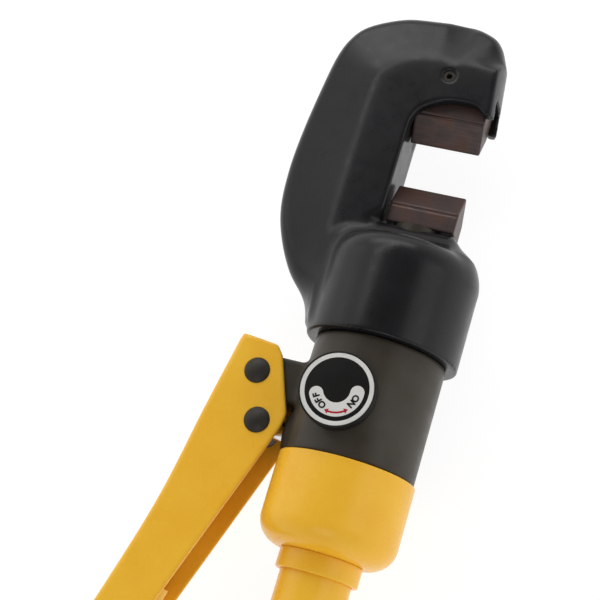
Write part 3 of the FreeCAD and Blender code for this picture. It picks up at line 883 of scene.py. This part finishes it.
@dataclass(frozen=True)
class Plunger:
    """Pump plunger: a chromed rod and the dark slotted eye that the drive pin works in."""

    finishes: FinishSet
    eye: tuple[float, float] = (-42.4, 9.3)
    eye_half: tuple[float, float, float] = (6.5, 8.0, 6.0)
    slot_radius: float = 4.35
    slot_reach: float = 1.1
    rod_radius: float = 4.5
    tip: float = -11.0
    step: float = 0.4

    def build(self) -> list[bpy.types.Object]:
        """Make the eye from a field and turn the rod about its own axis."""
        (x0, s0), (dx, ds, dz) = self.eye, self.eye_half
        grid = Lattice((x0 - dx, s0 - ds, -dz), (x0 + dx, s0 + ds, dz), self.step)
        x, s, z = grid.axes()
        block = common(slab(x, x0 - dx, x0 + dx), slab(s, s0 - ds, s0 + ds), 6.0)
        block = common(block, np.abs(z) - dz, 1.0)
        beside = np.maximum(np.abs(s - s0) - self.slot_reach, 0.0)
        slot = np.sqrt((x - x0) ** 2 + beside ** 2) - self.slot_radius
        eye = net_piece("plunger_eye", without(block, slot + 0 * z, 0.4), grid, self.finishes.dark_steel,
                        Body.PLUNGER, ["pump_plunger"])
        profile = rounded([(0, x0 + 6.0, 0), (self.rod_radius, x0 + 6.0, 0), (self.rod_radius, self.tip, 0.6),
                           (0, self.tip, 0)])
        shaft = turned_piece("plunger_rod", profile, (0.0, s0, 0.0), Turning.ACROSS, self.finishes.chrome,
                             Body.PLUNGER, closed=False, steps=48)
        return [eye, shaft]


# ---- Release knob -------------------------------------------------------------------------------
@dataclass(frozen=True)
class ReleaseKnob:
    """Round release knob with its printed disc: a white ring and band, ON and OFF, and a red arrow."""

    finishes: FinishSet
    place: tuple[float, float] = (-6.2, 26.3)
    turn: float = 14.0
    band_mid: float = 9.0
    band_half: float = 3.05
    band_end: float = 11.0
    arrow_mid: float = 10.3
    arrow_half: float = 0.4
    arrow_reach: float = 20.0
    letter_mid: float = 9.2
    letter_size: float = 3.9
    face: float = 36.5
    rim: float = 16.8
    recess: float = 16.15
    recess_depth: float = 0.6
    print_low: float = 36.2
    band_top: float = 36.34
    ink_top: float = 36.42
    letters: tuple[tuple[str, float], ...] = (("O", -132.0), ("F", -148.5), ("F", -164.0), ("O", -28.0),
                                              ("N", -46.0))

    def polar(self, radius: Array, degrees: Array) -> Array:
        """Points on the knob's face from radii and angles, the label's own turn added."""
        angle = np.radians(degrees + self.turn)
        return np.stack([self.place[0] + radius * np.cos(angle), self.place[1] + radius * np.sin(angle)], -1)

    def raised(self, name: str, outline: Array, top: float, finish: bpy.types.Material) -> bpy.types.Object:
        """Print a closed outline as a thin raised layer, its sides and both faces included."""
        count = len(outline)
        levels = [np.column_stack([outline, np.full(count, z)]) for z in (self.print_low, top)]
        ring = np.arange(count)
        after = (ring + 1) % count
        sides = np.stack([ring, after, after + count, ring + count], 1).tolist()
        faces = sides + [ring[::-1].tolist(), (ring + count).tolist()]
        return make_piece(name, np.vstack(levels), faces, finish, Body.RELEASE)

    def band(self) -> bpy.types.Object:
        """White band along the lower half of the disc, with round ends."""
        start, end = -180.0 + self.band_end, -self.band_end
        sweep = np.linspace(start, end, 60)
        cap = np.linspace(0, 180, 18)[1:-1]
        outer = self.polar(np.full(60, self.band_mid + self.band_half), sweep)
        inner = self.polar(np.full(60, self.band_mid - self.band_half), sweep[::-1])

        def end_cap(degrees: float, turned: float) -> Array:
            """Half circle at one end of the band, swept one way or the other."""
            middle = self.polar(np.array([self.band_mid]), np.array([degrees]))
            angle = np.radians(degrees + self.turn + turned * cap)
            return middle + self.band_half * np.stack([np.cos(angle), np.sin(angle)], 1)

        loop = np.vstack([outer, end_cap(end, 1.0), inner, end_cap(start, -1.0)[::-1]])
        return self.raised("label_band", loop, self.band_top, self.finishes.white_ink)

    def arrow(self) -> bpy.types.Object:
        """Red arc with an arrowhead at each end."""
        sweep = -90.0 + np.linspace(-self.arrow_reach, self.arrow_reach, 24)
        outer = self.polar(np.full(24, self.arrow_mid + self.arrow_half), sweep)
        inner = self.polar(np.full(24, self.arrow_mid - self.arrow_half), sweep[::-1])
        head, tip = 1.2, 9.5
        across, beyond = np.array([head, 0.0, -head]), np.array([0.0, tip, 0.0])
        right = self.polar(self.arrow_mid + across, sweep[-1] + beyond)
        left = self.polar(self.arrow_mid - across, sweep[0] - beyond)
        return self.raised("label_arrow", np.vstack([outer, right, inner, left]), self.ink_top,
                           self.finishes.red_ink)

    def lettering(self) -> bpy.types.Object:
        """Letters that read clockwise with their tops outwards, all in one mesh."""
        points, faces, first = [], [], 0
        for letter, degrees in self.letters:
            curve = bpy.data.curves.new("letter", "FONT")
            curve.body, curve.size = letter, self.letter_size
            curve.align_x = curve.align_y = "CENTER"
            curve.extrude, curve.offset = (self.ink_top - self.print_low) / 2, 0.17
            holder = bpy.data.objects.new("letter", curve)
            mesh = bpy.data.meshes.new_from_object(holder)
            flat = np.empty(len(mesh.vertices) * 3)
            mesh.vertices.foreach_get("co", flat)
            flat = flat.reshape(-1, 3)
            flat[:, :2] -= (flat[:, :2].min(0) + flat[:, :2].max(0)) / 2
            middle = self.polar(np.array([self.letter_mid]), np.array([degrees]))[0]
            lean = math.radians(degrees + self.turn - 90.0)
            x = flat[:, 0] * math.cos(lean) - flat[:, 1] * math.sin(lean) + middle[0]
            y = flat[:, 0] * math.sin(lean) + flat[:, 1] * math.cos(lean) + middle[1]
            points.append(np.stack([x, y, flat[:, 2] + (self.ink_top + self.print_low) / 2], 1))
            faces += [[first + i for i in face.vertices] for face in mesh.polygons]
            first += len(flat)
            bpy.data.objects.remove(holder)
        return make_piece("label_letters", np.vstack(points), faces, self.finishes.disc, Body.RELEASE)

    def build(self) -> list[bpy.types.Object]:
        """Make the knob, the disc, its white ring and the print."""
        centre = (self.place[0], self.place[1], 0.0)
        seat = self.face - self.recess_depth
        knob = rounded([(0, 34.4, 0), (2.95, 34.4, 0), (2.95, 30.4, 0.3), (self.rim, 30.4, 0.8),
                        (self.rim, self.face, 0.3), (self.recess, self.face, 0.05), (self.recess, seat, 0),
                        (0, seat, 0)])
        disc = rounded([(0, seat + 0.02, 0), (16.05, seat + 0.02, 0), (16.05, seat + 0.35, 0.1),
                        (0, seat + 0.35, 0)])
        ring = rounded([(14.0, seat + 0.2, 0), (15.95, seat + 0.2, 0), (15.95, self.band_top, 0.08),
                        (14.0, self.band_top, 0.08)], closed=True)
        parts = [
            turned_piece("release_knob_body", knob, centre, Turning.UP, self.finishes.knob, Body.RELEASE,
                         ["release_knob"], closed=False),
            turned_piece("label_disc", disc, centre, Turning.UP, self.finishes.disc, Body.RELEASE,
                         ["knob_label"], closed=False),
            turned_piece("label_ring", ring, centre, Turning.UP, self.finishes.white_ink, Body.RELEASE),
        ]
        return parts + [self.band(), self.arrow(), self.lettering()]


# ---- Lever --------------------------------------------------------------------------------------
LEVER_BACK = smooth_line([(-61.7, 44.0), (-68.1, 9.8), (-76.6, -38.0), (-93.0, -98.0)])
LEVER_FRONT = rounded([(-93.0, -98.0, 0), (-71.8, -104.0, 3), (-31.3, 9.0, 6), (-30.4, 15.0, 6),
                       (-40.0, 40.4, 4), (-43.4, 44.8, 3), (-60.6, 46.8, 1), (-61.7, 44.0, 0)])[:-1]


@dataclass(frozen=True)
class Lever:
    """Pump lever: a pressed channel, a tube with a rubber grip, and the two headed pins."""

    finishes: FinishSet
    grid: Lattice = Lattice((-93.2, -104.2, -14.0), (-30.0, 47.0, 14.0), 0.62)
    half: float = 14.0
    sheet: float = 2.5
    bend: float = 3.4
    edge_round: float = 1.2
    pins: tuple[tuple[str, tuple[float, float]], ...] = (("pivot_pin", (-49.0, 31.0)),
                                                         ("drive_pin", (-42.4, 9.3)))

    def channel(self) -> bpy.types.Object:
        """Pressed channel: bent round along its back, plainly cut elsewhere, hollow and open in front."""
        x, s, z = self.grid.axes()
        plane_x, plane_s = x + 0 * s, s + 0 * x
        outline = loop_distance(plane_x, plane_s, np.vstack([LEVER_BACK[:-1], LEVER_FRONT]))
        to_back = line_distance(plane_x, plane_s, LEVER_BACK)
        blend = self.edge_round + (self.bend - self.edge_round) * np.exp(-(to_back / 5.0) ** 2)
        outside = common(np.abs(z) - self.half, outline, blend)
        inner = LEVER_BACK + (self.sheet * 1.02, 0.0)
        hollow = np.vstack([[(-59.15, 52.0)], inner, [(-92.1, -110.0), (0.0, -110.0), (0.0, 52.0)]])
        inside = common(np.abs(z) - (self.half - self.sheet), loop_distance(plane_x, plane_s, hollow), 2.5)
        shell = without(outside, inside, 0.5)
        for _, place in self.pins:
            shell = without(shell, rod(x, s, place, 4.02) + 0 * z, 0.4)
        return net_piece("pressed_channel", shell, self.grid, self.finishes.yellow, Body.LEVER,
                         ["lever_channel"])

    def pin(self, node: str, place: tuple[float, float]) -> bpy.types.Object:
        """Headed pin with a low domed head and a groove for its clip."""
        dome_radius, rise, head = 9.5, 2.4, 5.9
        angle = np.linspace(math.asin((head - 0.4) / dome_radius), 0, 14)
        top = self.half + rise - dome_radius
        dome = np.stack([dome_radius * np.sin(angle), top + dome_radius * np.cos(angle)], 1)
        shank = rounded([(0, -17.2, 0), (4.0, -17.2, 0.4), (4.0, -15.7, 0.1), (3.2, -15.7, 0),
                         (3.2, -14.6, 0), (4.0, -14.6, 0.1), (4.0, 14.02, 0),
                         (head, 14.02, 0.05), (head, 14.15, 0)])
        return turned_piece(node + "_turned", np.vstack([shank, dome]), (*place, 0.0), Turning.UP,
                            self.finishes.dark_steel, Body.LEVER, [node], closed=False)

    def grip(self) -> bpy.types.Object:
        """Rubber sleeve, closed at its end, with moulded finger rings."""
        rings = [(13.0 - depth, 16.0 + 8.0 * i + shift, 0.6) for i in range(11)
                 for shift, depth in ((0.0, 0.0), (0.8, 0.8), (2.2, 0.8), (3.0, 0.0))]
        profile = rounded([(0, 106.1, 0), (9.55, 106.1, 0), (9.55, 8.0, 0.3), (13.0, 8.0, 1.5)] + rings
                          + [(13.0, 110.0, 3.0), (0, 110.0, 0)], steps=5)
        return turned_piece("lever_rubber_grip", profile, (-79.6, -98.0, 0.0), Turning.LEANING,
                            self.finishes.grip, Body.LEVER, ["lever_grip"], closed=False)

    def build(self) -> list[bpy.types.Object]:
        """Make the channel, the pins and the grip, and dress the tube and the clips."""
        dress_nodes(self.finishes.yellow, "lever_tube")
        dress_nodes(self.finishes.spring, "pin_clips")
        return [self.channel(), self.grip()] + [self.pin(node, place) for node, place in self.pins]


# ---- Handle and reservoir -----------------------------------------------------------------------
@dataclass(frozen=True)
class Handle:
    """Yellow reservoir cup, neck ring and tube, with the rubber grip and the plug at the tail."""

    finishes: FinishSet
    cup_radius: float = 31.0
    cup_bottom: float = -40.0
    tail: float = -208.0
    grip_radius: float = 17.5
    tube_radius: float = 16.0

    def rings(self) -> list[tuple[float, float, float]]:
        """Shallow moulded grooves along the grip, 9 mm apart."""
        depth, count, pitch = 0.8, 11, 9.0
        return [(self.grip_radius - drop, self.tail + 6.0 + pitch * i + shift, 0.6) for i in range(count)
                for shift, drop in ((0.0, 0.0), (0.9, depth), (2.7, depth), (3.6, 0.0))]

    def build(self) -> list[bpy.types.Object]:
        """Make every piece of the handle from its turned profile."""
        axis = (0.0, 0.0, 0.0)
        bore, wall = self.tube_radius + 0.05, 2.9
        floor = self.cup_bottom + wall
        cup = rounded([(self.cup_radius, 0.0, 0.7), (self.cup_radius, self.cup_bottom, 12.0),
                       (bore, self.cup_bottom, 0.3), (bore, floor, 0.3), (27.9, floor, 9.1),
                       (27.9, 0.0, 0.3)],
                      closed=True, steps=14)
        neck = rounded([(18.5, -49.0, 1.0), (18.5, -40.05, 0.4), (bore, -40.05, 0.1), (bore, -49.0, 0.3)],
                       closed=True)
        tube = rounded([(self.tube_radius, self.tail + 4, 0.4), (self.tube_radius, -37.1, 0.4),
                        (13.5, -37.1, 0.4), (13.5, self.tail + 4, 0.4)], closed=True)
        end = self.tail + 110.0
        grip = rounded([(bore, self.tail, 0.3), (self.grip_radius, self.tail, 1.2)] + self.rings()
                       + [(self.grip_radius, end, 1.0), (bore, end, 0.2)], closed=True, steps=5)
        plug = rounded([(0, self.tail, 0), (15.5, self.tail, 1.2), (15.5, self.tail + 3.95, 0.2),
                        (13.4, self.tail + 3.95, 0), (13.4, self.tail + 16, 0.8), (0, self.tail + 16, 0)])
        rows = [
            ("cast_cup", cup, self.finishes.yellow, "reservoir_cup", True),
            ("neck_clamp", neck, self.finishes.yellow, "neck_ring", True),
            ("yellow_tube", tube, self.finishes.yellow, "handle_tube", True),
            ("rubber_grip", grip, self.finishes.grip, "handle_grip", True),
            ("tail_plug", plug, self.finishes.knob, "end_plug", False),
        ]
        return [turned_piece(name, profile, axis, Turning.ALONG, finish, Body.FRAME, [node], closed=closed)
                for name, profile, finish, node, closed in rows]


# ---- Studio -------------------------------------------------------------------------------------
def stand(holder: bpy.types.Object, side: Array, up: Array, back: Array, place: Array) -> None:
    """Put an object in the scene at a place in metres, looking away from its back, with its side and up."""
    axes = np.eye(4)
    axes[:3] = np.column_stack([side, up, back, place])
    holder.matrix_world = Matrix(axes.tolist())
    bpy.context.scene.collection.objects.link(holder)


@dataclass(frozen=True)
class Softbox:
    """Rectangular softbox that points at the tool."""

    name: str
    place: tuple[float, float, float]
    size: tuple[float, float]
    power: float
    along: tuple[float, float, float] = (1.0, 0.0, 0.0)
    target: tuple[float, float, float] = (-0.02, 0.28, 0.0)

    def build(self) -> None:
        """Hang the light and turn its face to the target."""
        light = bpy.data.lights.new(self.name, "AREA")
        light.shape = "RECTANGLE"
        light.size, light.size_y = self.size
        light.energy = self.power
        holder = bpy.data.objects.new(self.name, light)
        aim = np.array(self.place) - np.array(self.target)
        back = aim / np.linalg.norm(aim)
        side = np.array(self.along) - (np.array(self.along) @ back) * back
        side /= np.linalg.norm(side)
        stand(holder, side, np.cross(back, side), back, np.array(self.place))


@dataclass(frozen=True)
class Studio:
    """White light table, overhead softboxes, a pale surround and the camera."""

    floor_height: float = -34.9
    floor_size: float = 4.0
    glow: float = 0.92
    horizon: float = 1.1
    zenith: float = 0.22
    lens: float = 90.0
    tilt: float = 16.0
    lift: float = -15.14
    roll: float = 17.21
    offsets: tuple[float, float, float] = (-20.78, 74.87, 659.8)

    def table(self) -> None:
        """Opal acrylic sheet lit from below, so that it glows nearly white."""
        reach = self.floor_size / 2
        corners = [(-reach, -reach), (reach, -reach), (reach, reach), (-reach, reach)]
        mesh = bpy.data.meshes.new("light_table")
        mesh.from_pydata([(x, y, self.floor_height * MM) for x, y in corners], [], [(0, 1, 2, 3)])
        opal = bpy.data.materials.new("opal_acrylic")
        opal.use_nodes = True
        shader = opal.node_tree.nodes["Principled BSDF"]
        place = add_node(opal.node_tree, "TexCoord").outputs["Object"]
        tint = ramp(opal.node_tree, grain(opal.node_tree, place, 300.0), [(0.3, "#fcfcfc"), (0.7, "#ffffff")])
        opal.node_tree.links.new(tint, shader.inputs["Emission Color"])
        shader.inputs["Base Color"].default_value = colour("#6c6c6c")
        shader.inputs["Emission Strength"].default_value = self.glow
        shader.inputs["Roughness"].default_value = 0.6
        mesh.materials.append(opal)
        table = bpy.data.objects.new("light_table", mesh)
        bpy.context.scene.collection.objects.link(table)

    def surround(self) -> None:
        """Studio walls and ceiling: bright low down and dimmer overhead."""
        world = bpy.data.worlds.new("studio_surround")
        world.use_nodes = True
        tree = world.node_tree
        direction = add_node(tree, "TexCoord").outputs["Generated"]
        height = add_node(tree, "SeparateXYZ", {0: direction}).outputs["Z"]
        level = add_node(tree, "MapRange", {"Value": height, "From Min": 0.0, "From Max": 0.9,
                                            "To Min": self.horizon, "To Max": self.zenith},
                         interpolation_type="SMOOTHSTEP").outputs["Result"]
        background = tree.nodes["Background"]
        background.inputs["Color"].default_value = colour("#fffdf8")
        tree.links.new(level, background.inputs["Strength"])
        bpy.context.scene.world = world

    def camera(self) -> None:
        """Camera above the tool, a little towards its tail and its open side, rolled about its own axis."""
        tilt, lift, roll = (math.radians(angle) for angle in (self.tilt, self.lift, self.roll))
        back = np.array([math.sin(tilt) * math.cos(lift), math.sin(lift), math.cos(tilt) * math.cos(lift)])
        side = np.array([math.cos(tilt), 0.0, -math.sin(tilt)])
        up = np.cross(back, side)
        right = side * math.cos(roll) + up * math.sin(roll)
        above = up * math.cos(roll) - side * math.sin(roll)
        along, over, away = self.offsets
        place = np.array([0.0, CUP_RIM_Y, 0.0]) + along * right + over * above + away * back
        data = bpy.data.cameras.new("camera")
        data.lens = self.lens
        data.clip_start = 0.01
        camera = bpy.data.objects.new("camera", data)
        stand(camera, right, above, back, place * MM)
        bpy.context.scene.camera = camera

    def build(self) -> None:
        """Set up the whole studio."""
        self.table()
        self.surround()
        for box in (
            Softbox("strip_softbox", (-0.62, 0.98, 1.10), (1.0, 0.2), 2.6, (0.58, 0.80, -0.2)),
            Softbox("left_softbox", (-1.4, 0.6, 0.9), (1.0, 1.0), 2.2),
            Softbox("open_side_softbox", (1.3, 0.5, 1.1), (1.0, 1.0), 3.0),
            Softbox("back_softbox", (-0.45, 1.55, 0.85), (1.5, 0.5), 6.5),
            Softbox("tail_softbox", (0.1, -0.9, 1.3), (0.9, 0.7), 3.4),
        ):
            box.build()
        self.camera()
        bpy.context.scene.view_settings.view_transform = "Standard"


# ---- Whole tool ---------------------------------------------------------------------------------
@dataclass
class CrimpingTool:
    """The whole tool, group by group."""

    finishes: FinishSet
    made: dict[str, int] = field(default_factory=dict)

    def build(self) -> None:
        """Build every group and note how many pieces each one has."""
        for group in (Head, Dies, CylinderBody, Plunger, ReleaseKnob, Lever, Handle):
            pieces = group(self.finishes).build()
            self.made[group.__name__] = len(pieces)
            LOG.info("%s: %d pieces", group.__name__, len(pieces))


def main() -> None:
    """Build the tool and its studio."""
    logging.basicConfig(level=logging.INFO, format="%(name)s %(message)s")
    tool = CrimpingTool(FinishSet.make())
    tool.build()
    Studio().build()
    LOG.info("groups: %s", tool.made)


if __name__ == "__main__":
    main()
